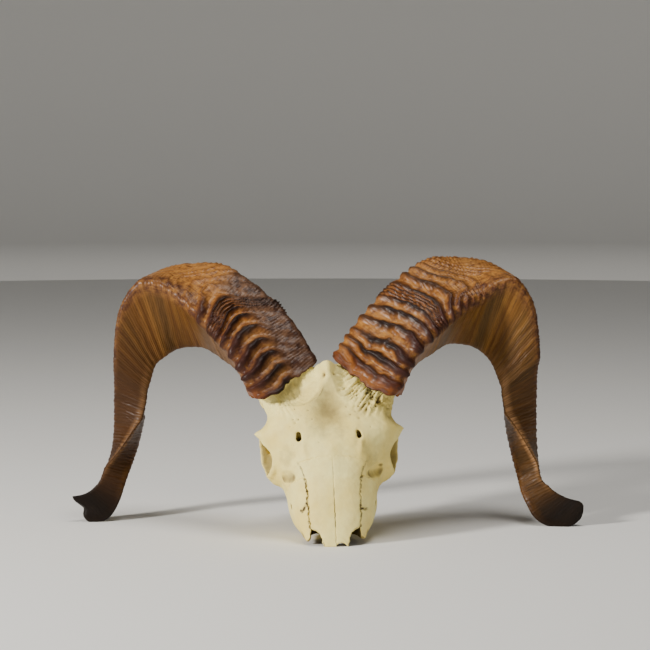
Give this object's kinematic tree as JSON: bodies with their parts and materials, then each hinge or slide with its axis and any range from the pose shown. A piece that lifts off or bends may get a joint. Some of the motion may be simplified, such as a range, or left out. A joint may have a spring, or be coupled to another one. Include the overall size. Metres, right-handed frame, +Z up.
{
  "type": "ram skull",
  "caption": "Ram skull without its lower jaw, face forward, resting on its nasal bones and on the tips of two large curved, ribbed horns.",
  "frame": {"origin": "middle of the bounding box at table level", "axes": "+X across the horns, to the right of a viewer who looks at the face; the face looks along -Y; +Z up"},
  "size_m": [0.5064, 0.186, 0.2605],
  "materials": {
    "bone": "dry bleached bone, cream, matte",
    "horn": "amber-brown horn, varnished"
  },
  "bodies": {
    "root": {"cranium": "bone", "maxilla_left": "bone", "maxilla_right": "bone", "nasal_left": "bone", "nasal_right": "bone", "horn_left": "horn", "horn_right": "horn"}
  },
  "joints": []
}
